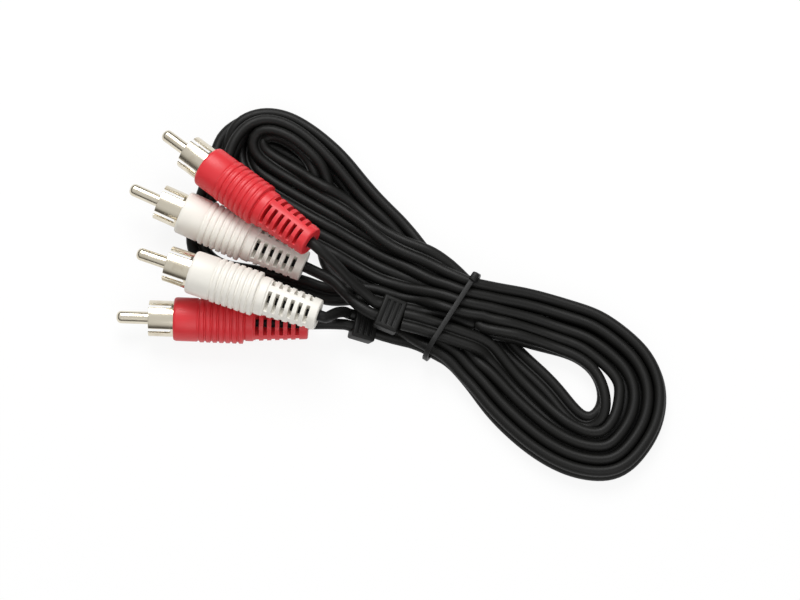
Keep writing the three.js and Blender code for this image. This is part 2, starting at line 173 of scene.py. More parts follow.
# An even row of points on a smooth curve through the given ones
def curveThrough(points, step):
    given = np.array(points, float)
    parts = []
    for i in range(len(given) - 1):
        a, b = given[i], given[i + 1]
        before = given[i - 1] if i else 2 * a - b
        after = given[i + 2] if i + 2 < len(given) else 2 * b - a
        count = max(2, int(np.linalg.norm(b[:3] - a[:3]) / curveStep))
        t = np.arange(count)[:, None] / count
        parts.append(0.5 * (
            2 * a + (b - before) * t + (2 * before - 5 * a + 4 * b - after) * t**2
            + (3 * a - before - 3 * b + after) * t**3
        ))
    parts.append(given[-1:])
    fine = np.concatenate(parts)
    gone = np.concatenate([[0], np.cumsum(np.linalg.norm(np.diff(fine[:, :3], axis=0), axis=1))])
    at = np.linspace(0, gone[-1], int(round(gone[-1] / step)) + 1)
    return np.stack([np.interp(at, gone, fine[:, j]) for j in range(fine.shape[1])], axis=1)


# One of the turns at the right end, counted from the outermost
def rightTurnAt(index):
    outer = np.array(rightTurn, float)
    ahead = np.gradient(outer, axis=0)
    ahead /= np.linalg.norm(ahead, axis=1)[:, None]
    inward = np.stack([-ahead[:, 1], ahead[:, 0]], axis=1)
    inset = np.full((len(outer), 1), twinCord["insets"][index])
    if index == innermost["index"]:
        inset[outer[:, 1] > innermost["upperFrom"]] -= innermost["nearer"]
    at = outer + inward * inset
    last = len(outer) - 1
    points = []
    for i, (x, y) in enumerate(at):
        inside = min(1, min(i, last - i) / 2)  # 0 at the waist, 1 out in the turn
        rise = waistRise["upper" if i > last / 2 else "lower"]
        lean = 90 + (twinCord["leans"][index] - 90) * inside
        if index == innermost["index"] and y < innermost["flatterBelow"]:
            lean += (innermost["flatFrom"] - x) * innermost["flatRate"]
        points.append((x, y, twinCord["edgeHeight"] + (1 - inside) * rise, lean))
    return points


def twinRoute():
    x, y = innermost["left"]
    lastTurn = [p for p in rightTurnAt(innermost["index"])[::-1] if p[0] > x or p[1] > y]
    route = (
        passes["fromLowerSplitter"] + rightTurnAt(0) + passes["firstFold"] + rightTurnAt(1)
        + passes["secondFold"] + rightTurnAt(2) + passes["thirdFold"] + passes["innerTurn"]
        + passes["outerFold"] + lastTurn + passes["toUpperSplitter"]
    )
    route = curveThrough(route, twinCord["step"])
    for _ in range(smoothings):
        route[1:-1] = 0.5 * route[1:-1] + 0.25 * (route[:-2] + route[2:])
    return route


# The two conductors' centrelines
def conductors(route):
    middle = route[:, :3]
    ahead = np.gradient(middle, axis=0)
    ahead /= np.linalg.norm(ahead, axis=1)[:, None]
    side = np.stack([-ahead[:, 1], ahead[:, 0], 0 * ahead[:, 0]], axis=1)
    side /= np.linalg.norm(side, axis=1)[:, None]
    up = np.cross(ahead, side)
    up *= np.sign(up[:, 2:3])
    lean = np.radians(route[:, 3:4])
    across = (np.cos(lean) * side + np.sin(lean) * up) * twinCord["pitch"] / 2
    return np.concatenate([middle + across, middle - across])


# Points of stretches apart from each other that are closer than reach
def closePairs(points, count, reach):
    cells = {}
    for i, cell in enumerate(map(tuple, np.floor(points / reach).astype(int))):
        cells.setdefault(cell, []).append(i)
    around = [(x, y, z) for x in (-1, 0, 1) for y in (-1, 0, 1) for z in (-1, 0, 1)]
    pairs = []
    for cell, here in cells.items():
        beside = [(cell[0] + x, cell[1] + y, cell[2] + z) for x, y, z in around]
        near = [j for other in beside for j in cells.get(other, ())]
        pairs += [
            (i, j) for i in here for j in near
            if j > i and abs(i % count - j % count) > settling["neighbours"]
        ]
    pairs = np.array(pairs)
    gap = np.linalg.norm(points[pairs[:, 0]] - points[pairs[:, 1]], axis=1)
    return pairs[gap < reach]


# What the cord settles in and round: the inside of the tie, and the two splitters
tieSpace = {"x": 13.0, "reach": 1.2, "y": (-1.4, 22.4), "z": (1.2, 10.0)}
splitterBlock = {
    "size": (6.2, 8.6, 4.4), "round": 0.55, "grooves": 3, "pitch": 1.5, "width": 0.7, "depth": 0.5,
    "length": 6.4, "grooveRound": 0.2, "softening": 0.08,
}


# From a plug's or a splitter's own axes, where X runs along it, to the part's
def poseMatrix(pose, roll=0.0):
    turn = Matrix.Rotation(math.radians(pose["yaw"]), 4, "Z")
    turn = turn @ Matrix.Rotation(math.radians(-pose["pitch"]), 4, "Y")
    turn = turn @ Matrix.Rotation(math.radians(roll), 4, "X")
    return Matrix.Translation(Vector(pose["tail"])) @ turn


# Lifts points out of a splitter, through its top or its bottom
def keepOffBlock(points, pose, held):
    length, width, height = splitterBlock["size"]
    wire = twinCord["wire"]
    half = (length / 2, width / 2 + wire / 2, height / 2 + wire / 2)
    matrix = np.array(poseMatrix(pose))
    local = (points - matrix[:3, 3]) @ matrix[:3, :3]
    room = np.array(half) - np.abs(local)
    inside = (room > 0).all(axis=1) & ~held
    local[inside, 2] += np.sign(local[inside, 2]) * room[inside, 2] * settling["lift"]
    points[:] = local @ matrix[:3, :3].T + matrix[:3, 3]


# Lets the two conductors settle: they stay a pitch apart and clear of every other stretch
def settle(points):
    count, ends = len(points) // 2, settling["ends"]
    wire, pitch = twinCord["wire"], twinCord["pitch"]
    radius = wire / 2
    laid = points.copy()
    held = np.zeros(2 * count, bool)
    held[:ends] = held[count - ends:count + ends] = held[2 * count - ends:] = True
    free = (~held).astype(float)[:, None]
    for turn in range(settling["rounds"]):
        if turn % settling["lookEvery"] == 0:
            pairs = closePairs(points, count, wire + settling["margin"])
        moved = (points - laid) * settling["keep"]
        for start in (0, count):  # a push spreads along the cord, so its bends stay smooth
            one = moved[start:start + count]
            one[1:-1] += settling["spread"] * (0.5 * (one[:-2] + one[2:]) - one[1:-1])
        points = laid + moved * free
        points[:, 2] -= settling["sag"] * free[:, 0]
        apart = points[count:] - points[:count]
        pull = 0.5 * (1 - pitch / np.linalg.norm(apart, axis=1))[:, None] * apart
        points[:count] += pull * free[:count]
        points[count:] -= pull * free[count:]
        apart = points[pairs[:, 1]] - points[pairs[:, 0]]
        gap = np.linalg.norm(apart, axis=1)
        hit = gap < wire
        first, second = pairs[hit, 0], pairs[hit, 1]
        short = (wire - gap[hit]) / np.maximum(gap[hit], 1e-6)
        push = settling["push"] * short[:, None] * apart[hit]
        np.add.at(points, first, -push * free[first])
        np.add.at(points, second, push * free[second])
        for pose in splitterPoses.values():
            keepOffBlock(points, pose, held)
        points[:, 2] = np.maximum(points[:, 2], radius)
        tied = np.abs(points[:, 0] - tieSpace["x"]) < tieSpace["reach"]
        for axis, (low, high) in ((1, tieSpace["y"]), (2, tieSpace["z"])):
            points[tied, axis] = np.clip(points[tied, axis], low + radius, high - radius)
    return points


def selectOnly(*objects):
    bpy.ops.object.select_all(action="DESELECT")
    for obj in objects:
        obj.select_set(True)
    bpy.context.view_layer.objects.active = objects[0]


def smoothUpTo(obj, angle):
    selectOnly(obj)
    bpy.ops.object.shade_smooth_by_angle(angle=math.radians(angle))


# The mesh of a section swept along a path; across gives the section's first axis at each point,
# and spread moves its two halves apart
def sweep(name, path, across, section, spread=None):
    ahead = np.gradient(path, axis=0)
    ahead /= np.linalg.norm(ahead, axis=1)[:, None]
    across = across - (across * ahead).sum(axis=1)[:, None] * ahead
    across /= np.linalg.norm(across, axis=1)[:, None]
    up = np.cross(ahead, across)
    u, v = np.array(section).T
    if spread is None:
        spread = np.zeros(len(path))
    shift = np.sign(u)[None, :] * spread[:, None]
    rings = (
        path[:, None, :] + across[:, None, :] * (u[None, :] + shift)[:, :, None]
        + up[:, None, :] * v[None, :, None]
    )
    sides = len(u)
    faces = []
    for i in range(len(path) - 1):
        for j in range(sides):
            k = (j + 1) % sides
            faces.append((i * sides + j, i * sides + k, (i + 1) * sides + k, (i + 1) * sides + j))
    faces.append(tuple(range(sides))[::-1])
    faces.append(tuple(range((len(path) - 1) * sides, len(path) * sides)))
    mesh = bpy.data.meshes.new(name)
    mesh.from_pydata((rings.reshape(-1, 3) * millimetre).tolist(), [], faces)
    gone = np.concatenate([[0], np.cumsum(np.linalg.norm(np.diff(path, axis=0), axis=1))])
    layer = mesh.uv_layers.new(name="along")
    for face in mesh.polygons:
        for corner in face.loop_indices:
            vertex = mesh.loops[corner].vertex_index
            layer.data[corner].uv = (gone[vertex // sides] / 10, (vertex % sides) / sides)
    obj = bpy.data.objects.new(name, mesh)
    bpy.context.scene.collection.objects.link(obj)
    smoothUpTo(obj, 50)
    return obj


def twinSection():
    radius, half = twinCord["wire"] / 2, twinCord["pitch"] / 2
    corner = math.asin(twinCord["web"] / 2 / radius)
    angles = np.linspace(corner, 2 * math.pi - corner, twinCord["corners"])
    left = [(-half + radius * math.cos(a), radius * math.sin(a)) for a in angles]
    right = [(half - radius * math.cos(a), -radius * math.sin(a)) for a in angles]
    return left + right


def makeTwinCord():
    points = settle(conductors(twinRoute()))
    count = len(points) // 2
    one, two = points[:count], points[count:]
    path = 0.5 * (one + two)
    width = np.linalg.norm(two - one, axis=1)
    spread = np.clip(0.5 * (width - twinCord["pitch"]), -twinCord["give"], twinCord["give"])
    cord = sweep("twin_cord", path, two - one, twinSection(), spread)
    return cord, path


twin, twinPath = makeTwinCord()
twinLength = float(np.linalg.norm(np.diff(twinPath, axis=0), axis=1).sum()) * millimetre
print(f"twin cord laid, {twinLength:.3f} m")

leadFrom = (1.2, 3.4, 4.8)  # along its splitter
leadTo = (-1.4, 0, 6.0, 12.0, 18.0)  # along its plug, from the tail inwards
leadStep = 0.9
leadSides = 24
leadRoutes = {
    "red_lead_a": {
        "splitter": "splitter_a", "side": -1, "plug": "red_plug_a",
        "free": [(-8.6, 2.9, 10.6), (-13.0, 3.2, 13.4), (-17.6, 4.0, 16.4), (-21.6, 4.5, 18.5)],
    },
    "white_lead_a": {
        "splitter": "splitter_a", "side": 1, "plug": "white_plug_a",
        "free": [(-8.8, -0.3, 9.0), (-13.4, 0.9, 8.2), (-18.0, 2.0, 7.5)],
    },
    "white_lead_b": {
        "splitter": "splitter_b", "side": -1, "plug": "white_plug_b",
        "free": [(-10.6, -3.3, 7.2), (-11.5, -5.0, 10.4), (-12.0, -7.0, 13.4), (-12.4, -8.7, 15.5)],
    },
    "red_lead_b": {
        "splitter": "splitter_b", "side": 1, "plug": "red_plug_b",
        "free": [(-12.4, -7.7, 5.9)],
    },
}


def makeLead(name, route):
    start = poseMatrix(splitterPoses[route["splitter"]])
    end = poseMatrix(plugPoses[route["plug"]])
    side = route["side"] * twinCord["pitch"] / 2
    points = [tuple(start @ Vector((x, side, 0))) for x in leadFrom]
    points += route["free"]
    points += [tuple(end @ Vector((x, 0, 0))) for x in leadTo]
    path = curveThrough(points, leadStep)
    across = np.cross(np.gradient(path, axis=0), (0.2, 0.1, 1.0))  # no lead runs along this
    radius = twinCord["wire"] / 2
    angles = np.linspace(0, 2 * math.pi, leadSides + 1)[:-1]
    circle = [(radius * math.cos(a), radius * math.sin(a)) for a in angles]
    return sweep(f"{name}_cord", path, across, circle), path


leads = {name: makeLead(name, route) for name, route in leadRoutes.items()}
print("leads laid")

# Making pieces by hand


def applyModifier(obj, kind, **settings):
    selectOnly(obj)
    modifier = obj.modifiers.new(kind.lower(), kind)
    for name, value in settings.items():
        setattr(modifier, name, value)
    bpy.ops.object.modifier_apply(modifier=modifier.name)


# Small bevels along the sharp edges
def soften(obj, width, segments=2, angle=50):
    applyModifier(
        obj, "BEVEL", width=width, segments=segments, limit_method="ANGLE",
        angle_limit=math.radians(angle), use_clamp_overlap=True)


def cutAway(obj, cutter):
    applyModifier(obj, "BOOLEAN", operation="DIFFERENCE", solver="EXACT", object=cutter)
    bpy.data.objects.remove(cutter)


def roundAll(obj, offset, segments):
    selectOnly(obj)
    bpy.ops.object.mode_set(mode="EDIT")
    bpy.ops.mesh.select_all(action="SELECT")
    bpy.ops.mesh.bevel(offset=offset, segments=segments, affect="EDGES")
    bpy.ops.object.mode_set(mode="OBJECT")


def closeUp(obj, gap=0.001):
    selectOnly(obj)
    bpy.ops.object.mode_set(mode="EDIT")
    bpy.ops.mesh.select_all(action="SELECT")
    bpy.ops.mesh.remove_doubles(threshold=gap)
    bpy.ops.mesh.normals_make_consistent(inside=False)
    bpy.ops.object.mode_set(mode="OBJECT")


# A ring of edges drawn out along X from station to station and scaled to each one's radius
def turned(name, profile, sides):
    x, radius = profile[0]
    bpy.ops.mesh.primitive_circle_add(
        vertices=sides, radius=radius, fill_type="NOTHING", location=(x, 0, 0),
        rotation=(0, math.pi / 2, 0))
    obj = bpy.context.object
    obj.name = name
    bpy.ops.object.transform_apply(location=True, rotation=True, scale=True)
    bpy.ops.object.mode_set(mode="EDIT")
    for (xFrom, before), (xTo, after) in zip(profile, profile[1:]):
        bpy.ops.mesh.extrude_region_move(TRANSFORM_OT_translate={"value": (xTo - xFrom, 0, 0)})
        scale = after / before
        bpy.ops.transform.resize(value=(1, scale, scale), center_override=(xTo, 0, 0))
    bpy.ops.object.mode_set(mode="OBJECT")
    closeUp(obj)
    return obj


def finishInMetres(obj, matrix):
    obj.data.transform(Matrix.Scale(millimetre, 4) @ matrix)
    smoothUpTo(obj, 35)
    return obj


# Points of a rounded corner, from the first angle to the last
def arc(x, y, radiusX, radiusY, first, last, steps):
    angles = [math.radians(first + (last - first) * i / steps) for i in range(steps + 1)]
    return [(x + radiusX * math.cos(a), y + radiusY * math.sin(a)) for a in angles]


grip = {
    "length": 34.3,
    "bodyRadius": 5.6,
    "frontRound": 0.9,
    "frontInset": 0.5,
    "ribRadius": 5.75,
    "ribPitch": 1.667,
    "ribCount": 7,
    "grooveDepth": 0.4,
    "grooveWidth": 0.6,
    "waist": 16.2,
    "waistRadius": 4.75,
    "stepLength": 2.0,
    "stepRadius": 5.0,
    "reliefRadius": 4.85,
    "tailRadius": 4.0,
    "tailRound": 0.5,
    "edgeRound": 0.14,  # of the ribs and the step ring
    "softening": 0.1,
    "sides": 64,
}
reliefSlot = {
    "rows": 4, "count": 6, "pitch": 2.05, "width": 1.0, "first": 2.65, "outer": 6.2, "steps": 12,
    "reach": 34.3,  # degrees to either side of the row's middle
}
bores = {
    "lead": 1.7, "leadRound": 0.25, "neck": 3.9, "mouth": 4.9, "mouthRound": 0.08,
    "mouthFrom": 30.9, "cavityFrom": 15.8,
}


def gripProfile():
    half, soft, tailRound = grip["grooveWidth"] / 2, grip["edgeRound"], grip["tailRound"]
    waist, tail = grip["waist"], grip["tailRadius"]
    step, relief = grip["stepRadius"], grip["reliefRadius"]
    stepBack = waist - half - grip["stepLength"]
    profile = [(0, bores["lead"] + bores["leadRound"]), (0, tail - tailRound)]
    profile += arc(tailRound, tail - tailRound, tailRound, tailRound, 180, 90, 5)[1:]
    profile += [
        (stepBack - 2 * half - 0.1, relief),
        (stepBack - 1.3 * half, relief - 0.16),
        (stepBack - 0.7 * half, relief - 0.2),
        (stepBack, step - soft),
        (stepBack + soft, step),
        (waist - half - soft, step),
        (waist - half, step - soft * 0.8),
        (waist - 0.1, grip["waistRadius"]),
        (waist + 0.1, grip["waistRadius"]),
    ]
    low, high = grip["ribRadius"] - grip["grooveDepth"], grip["ribRadius"]
    for i in range(grip["ribCount"]):
        start = waist + i * grip["ribPitch"]
        end = start + grip["ribPitch"]
        profile += [
            (start + half, high - soft),
            (start + half + soft * 0.35, high - soft * 0.35),
            (start + half + soft, high),
            (end - half - soft, high),
            (end - half - soft * 0.35, high - soft * 0.35),
            (end - half, high - soft),
            (end - 0.1, low),
            (end + 0.1, low),
        ]
    bodyFrom = waist + grip["ribCount"] * grip["ribPitch"] + half
    body, front = grip["bodyRadius"], grip["length"]
    profile += [
        (bodyFrom, body - soft), (bodyFrom + soft * 0.35, body - soft * 0.35), (bodyFrom + soft, body),
    ]
    rounding, inset = grip["frontRound"], grip["frontInset"]
    profile += arc(front - rounding, body - inset, rounding, inset, 90, 0, 8)
    lead, neck, mouth = bores["lead"], bores["neck"], bores["mouth"]
    profile += [
        (front, mouth + bores["mouthRound"]), (front - bores["mouthRound"], mouth),
        (bores["mouthFrom"], mouth), (bores["mouthFrom"], neck), (bores["cavityFrom"], neck),
        (bores["cavityFrom"], lead), (bores["leadRound"], lead), (0, lead + bores["leadRound"]),
    ]
    return profile


# One slot is a rectangle spun part of the way round; the rest are copies of it
def slotCutter():
    width, low, high = reliefSlot["width"], bores["lead"] - reliefSlot["width"] / 2, reliefSlot["outer"]
    bpy.ops.mesh.primitive_plane_add(
        size=1, location=(0, 0, (low + high) / 2), rotation=(math.pi / 2, 0, 0))
    cutter = bpy.context.object
    cutter.scale = (width, high - low, 1)
    bpy.ops.object.transform_apply(location=True, rotation=True, scale=True)
    bpy.ops.object.mode_set(mode="EDIT")
    bpy.ops.mesh.select_all(action="SELECT")
    angle = math.radians(reliefSlot["reach"])
    bpy.ops.transform.rotate(value=angle, orient_axis="X", center_override=(0, 0, 0))
    bpy.ops.mesh.spin(steps=reliefSlot["steps"], angle=2 * angle, center=(0, 0, 0), axis=(1, 0, 0))
    bpy.ops.object.mode_set(mode="OBJECT")
    return cutter


def cutRelief(obj):
    one = slotCutter()
    # centre the slot on +Y, where the first row of the part is
    middle = sum((v.co for v in one.data.vertices), Vector()) / len(one.data.vertices)
    one.data.transform(Matrix.Rotation(-math.atan2(middle.z, middle.y), 4, "X"))
    cutters = []
    for row in range(reliefSlot["rows"]):
        for i in range(reliefSlot["count"]):
            copy = bpy.data.objects.new("slot", one.data.copy())
            bpy.context.scene.collection.objects.link(copy)
            at = reliefSlot["first"] + i * reliefSlot["pitch"]
            around = Matrix.Rotation(row * 2 * math.pi / reliefSlot["rows"], 4, "X")
            copy.data.transform(Matrix.Translation((at, 0, 0)) @ around)
            cutters.append(copy)
    bpy.data.objects.remove(one)
    selectOnly(*cutters)
    bpy.ops.object.join()
    whole = bpy.context.object
    closeUp(whole)
    cutAway(obj, whole)


def makeGrip():
    obj = turned("grip", gripProfile(), grip["sides"])
    cutRelief(obj)
    soften(obj, grip["softening"])
    return obj


ring = {
    "front": 40.7, "back": 31.2, "neckBack": 22.0, "radius": 4.6, "wall": 0.5, "lip": 0.16,
    "neckRadius": 3.6, "slotWidth": 1.3, "slotLength": 5.8, "slotRound": 0.45, "turn": 13, "sides": 72,
    "chamfer": 0.1, "softening": 0.06,
}


def makeRing():
    radius, wall, lip, chamfer = ring["radius"], ring["wall"], ring["lip"], ring["chamfer"]
    front, back, neckBack, neck = ring["front"], ring["back"], ring["neckBack"], ring["neckRadius"]
    bore, neckBore = radius - wall, neck - wall
    profile = [
        (neckBack, neckBore), (neckBack, neck), (back, neck), (back, radius - chamfer),
        (back + chamfer, radius), (front - lip, radius),
    ]
    profile += arc(front - lip, radius - lip, lip, lip, 90, 0, 4)[1:]
    profile += [
        (front, bore + chamfer), (front - chamfer, bore), (back + wall, bore), (back + wall, neckBore),
        (neckBack, neckBore),
    ]
    obj = turned("ring", profile, ring["sides"])
    for side in (1, -1):
        bpy.ops.mesh.primitive_cube_add(size=1, location=(front, 0, 0))
        cutter = bpy.context.object
        cutter.scale = (2 * ring["slotLength"], 3 * radius, ring["slotWidth"])
        cutter.rotation_euler = (math.radians(45 * side), 0, 0)
        bpy.ops.object.transform_apply(location=True, rotation=True, scale=True)
        # the closed end of a slot is rounded
        bpy.ops.object.mode_set(mode="EDIT")
        bpy.ops.mesh.select_all(action="DESELECT")
        bpy.ops.object.mode_set(mode="OBJECT")
        for edge in cutter.data.edges:
            ends = [cutter.data.vertices[i].co for i in edge.vertices]
            atBack = max(end.x for end in ends) < front
            crossing = abs((ends[0] - ends[1]).length - 3 * radius) < 0.01
            edge.select = atBack and crossing
        bpy.ops.object.mode_set(mode="EDIT")
        bpy.ops.mesh.bevel(offset=ring["slotRound"], segments=4, affect="EDGES")
        bpy.ops.object.mode_set(mode="OBJECT")
        cutAway(obj, cutter)
    obj.data.transform(Matrix.Rotation(math.radians(ring["turn"]), 4, "X"))
    soften(obj, ring["softening"])
    return obj


pin = {
    "tip": 49.0, "radius": 1.6, "tipRound": 1.25, "tailRadius": 0.9, "tail": 18.6, "shoulder": 22.9,
    "sides": 48, "closed": 0.004,  # radius that its two ends are drawn in to
}


def makePin():
    tip, radius, soft = pin["tip"], pin["radius"], pin["tipRound"]
    profile = [
        (pin["tail"], pin["closed"]), (pin["tail"], pin["tailRadius"]),
        (pin["shoulder"], pin["tailRadius"]), (pin["shoulder"], radius),
    ]
    profile += arc(tip - soft, radius - soft, soft, soft, 90, 8, 9)
    profile += [(tip - 0.005, 0.3), (tip, pin["closed"])]
    obj = turned("pin", profile, pin["sides"])
    closeUp(obj, 0.01)
    return obj


insulator = {
    "back": 23.5, "step": 32.0, "front": 33.5, "radius": 2.8, "flange": 3.8, "bore": 1.9, "sides": 48,
    "chamfer": 0.15, "boreChamfer": 0.1, "groove": (2.9, 2.8, 2.5, 2.4), "grooveDepth": 0.25,
}


def makeInsulator():
    back, step, front = insulator["back"], insulator["step"], insulator["front"]
    radius, flange, bore = insulator["radius"], insulator["flange"], insulator["bore"]
    chamfer, boreChamfer = insulator["chamfer"], insulator["boreChamfer"]
    outer, outerFloor, innerFloor, inner = insulator["groove"]
    floor = front - insulator["grooveDepth"]
    profile = [
        (back, bore), (back, radius), (step, radius), (step, flange), (front - chamfer, flange),
        (front, flange - chamfer), (front, outer), (floor, outerFloor), (floor, innerFloor),
        (front, inner), (front, bore + boreChamfer), (front - boreChamfer, bore), (back, bore),
    ]
    return turned("insulator", profile, insulator["sides"])


def copyOf(obj, name, matrix):
    copy = bpy.data.objects.new(name, obj.data.copy())
    bpy.context.scene.collection.objects.link(copy)
    return finishInMetres(copy, matrix)


plugParts = {"grip": makeGrip(), "ring": makeRing(), "pin": makePin(), "insulator": makeInsulator()}
for part in plugParts.values():
    print(part.name, "has", len(part.data.polygons), "faces")

plugs = {}
for name, pose in plugPoses.items():
    matrix = poseMatrix(pose, plugRoll)
    plugs[name] = {
        kind: copyOf(part, f"{name}_{kind}_fine", matrix) for kind, part in plugParts.items()
    }
for part in plugParts.values():
    bpy.data.objects.remove(part)
print("plugs made")


def makeSplitter():
    size, count = splitterBlock["size"], splitterBlock["grooves"]
    bpy.ops.mesh.primitive_cube_add(size=1, location=(0, 0, 0))
    obj = bpy.context.object
    obj.scale = size
    bpy.ops.object.transform_apply(location=True, rotation=True, scale=True)
    roundAll(obj, splitterBlock["round"], 4)
    grooves = []
    for side in (1, -1):
        for i in range(count):
            x = (i - (count - 1) / 2) * splitterBlock["pitch"]
            bpy.ops.mesh.primitive_cube_add(size=1, location=(x, 0, side * size[2] / 2))
            cutter = bpy.context.object
            cutter.scale = (splitterBlock["width"], splitterBlock["length"], 2 * splitterBlock["depth"])
            bpy.ops.object.transform_apply(location=True, rotation=True, scale=True)
            roundAll(cutter, splitterBlock["grooveRound"], 2)
            grooves.append(cutter)
    selectOnly(*grooves)
    bpy.ops.object.join()
    cutAway(obj, bpy.context.object)
    soften(obj, splitterBlock["softening"])
    return obj


splitterPart = makeSplitter()
splitters = {
    name: copyOf(splitterPart, f"{name}_fine", poseMatrix(pose)) for name, pose in splitterPoses.items()
}
bpy.data.objects.remove(splitterPart)
print("splitters made")

tie = {
    "x": 13.0, "y": 10.5, "width": 1.3, "thickness": 1.0, "halfWidth": 12.2, "low": 1.1, "high": 10.1,
    "corner": 4.2, "knotRadius": 1.0, "knotLength": 2.4, "knotRound": 0.35, "softening": 0.3,
}


# The side that a band's faces look to: 1 where they look outwards
def tieOutward(band):
    return 1 if sum(face.normal.dot(face.center) for face in band.data.polygons) > 0 else -1


# A rectangle with rounded corners, drawn out to a band and given a wall, and a knot at one shoulder
def makeTie():
    height = tie["high"] - tie["low"]
    bpy.ops.mesh.primitive_plane_add(size=1, location=(0, 0, 0), rotation=(0, math.pi / 2, 0))
    obj = bpy.context.object
    obj.name = "tie_fine"
    obj.scale = (height, 2 * tie["halfWidth"], 1)
    bpy.ops.object.transform_apply(location=True, rotation=True, scale=True)
    bpy.ops.object.mode_set(mode="EDIT")
    bpy.ops.mesh.select_all(action="SELECT")
    bpy.ops.mesh.bevel(offset=tie["corner"], segments=10, affect="VERTICES")
    bpy.ops.mesh.select_all(action="SELECT")
    bpy.ops.mesh.delete(type="ONLY_FACE")
    bpy.ops.mesh.select_all(action="SELECT")
    bpy.ops.transform.translate(value=(-tie["width"] / 2, 0, 0))
    bpy.ops.mesh.extrude_region_move(TRANSFORM_OT_translate={"value": (tie["width"], 0, 0)})
    bpy.ops.mesh.select_all(action="SELECT")
    bpy.ops.mesh.normals_make_consistent(inside=False)
    bpy.ops.object.mode_set(mode="OBJECT")
    applyModifier(
        obj, "SOLIDIFY", thickness=tie["thickness"], offset=tieOutward(obj), use_even_offset=True)
    closeUp(obj)
    knotAt = (0, tie["halfWidth"] - tie["corner"] / 3, height / 2 + tie["thickness"] / 3)
    bpy.ops.mesh.primitive_cylinder_add(
        vertices=32, radius=tie["knotRadius"], depth=tie["knotLength"], location=knotAt,
        rotation=(math.pi / 2, 0, 0))
    knot = bpy.context.object
    bpy.ops.object.transform_apply(location=True, rotation=True, scale=True)
    roundAll(knot, tie["knotRound"], 3)
    selectOnly(obj, knot)
    bpy.ops.object.join()
    soften(obj, tie["softening"], segments=3, angle=60)
    place = Matrix.Translation((tie["x"], tie["y"], (tie["low"] + tie["high"]) / 2))
    return finishInMetres(obj, place)


tieFine = makeTie()
print("tie made")

# Materials


def newSocket(group, name, direction, kind, value=None):
    socket = group.interface.new_socket(name, in_out=direction, socket_type=kind)
    if value is not None:
        socket.default_value = value


def addNode(tree, kind, **values):
    node = tree.nodes.new(kind)
    for key, value in values.items():
        setattr(node, key, value)
    return node


# Fine moulding grain: a mottled colour, an uneven roughness and a height for the bump
def makeGrainGroup():
    group = bpy.data.node_groups.new("moulding grain", "ShaderNodeTree")
    newSocket(group, "Colour", "INPUT", "NodeSocketColor", (1, 1, 1, 1))
    newSocket(group, "Mottle", "INPUT", "NodeSocketFloat", 0.05)
    newSocket(group, "Roughness", "INPUT", "NodeSocketFloat", 0.5)
    newSocket(group, "Uneven", "INPUT", "NodeSocketFloat", 0.08)
    newSocket(group, "Grain Scale", "INPUT", "NodeSocketFloat", 2500)
    newSocket(group, "Colour", "OUTPUT", "NodeSocketColor")
    newSocket(group, "Roughness", "OUTPUT", "NodeSocketFloat")
    newSocket(group, "Height", "OUTPUT", "NodeSocketFloat")
    given = addNode(group, "NodeGroupInput")
    result = addNode(group, "NodeGroupOutput")
    place = addNode(group, "ShaderNodeTexCoord")
    broad = addNode(group, "ShaderNodeTexNoise")
    broad.inputs["Scale"].default_value = 160
    broad.inputs["Detail"].default_value = 4
    fine = addNode(group, "ShaderNodeTexNoise")
    fine.inputs["Detail"].default_value = 3
    group.links.new(place.outputs["Object"], broad.inputs["Vector"])
    group.links.new(place.outputs["Object"], fine.inputs["Vector"])
    group.links.new(given.outputs["Grain Scale"], fine.inputs["Scale"])
    # colour: the given one times 1 - mottle .. 1 + mottle
    centred = addNode(group, "ShaderNodeMath", operation="SUBTRACT")
    centred.inputs[1].default_value = 0.5
    group.links.new(broad.outputs["Fac"], centred.inputs[0])
    swing = addNode(group, "ShaderNodeMath", operation="MULTIPLY_ADD")
    swing.inputs[2].default_value = 1.0
    group.links.new(centred.outputs[0], swing.inputs[0])
    group.links.new(given.outputs["Mottle"], swing.inputs[1])
    colour = addNode(group, "ShaderNodeVectorMath", operation="SCALE")
    group.links.new(given.outputs["Colour"], colour.inputs[0])
    group.links.new(swing.outputs[0], colour.inputs["Scale"])
    group.links.new(colour.outputs[0], result.inputs["Colour"])
    rough = addNode(group, "ShaderNodeMath", operation="MULTIPLY_ADD")
    group.links.new(centred.outputs[0], rough.inputs[0])
    group.links.new(given.outputs["Uneven"], rough.inputs[1])
    group.links.new(given.outputs["Roughness"], rough.inputs[2])
    group.links.new(rough.outputs[0], result.inputs["Roughness"])
    group.links.new(fine.outputs["Fac"], result.inputs["Height"])
    return group


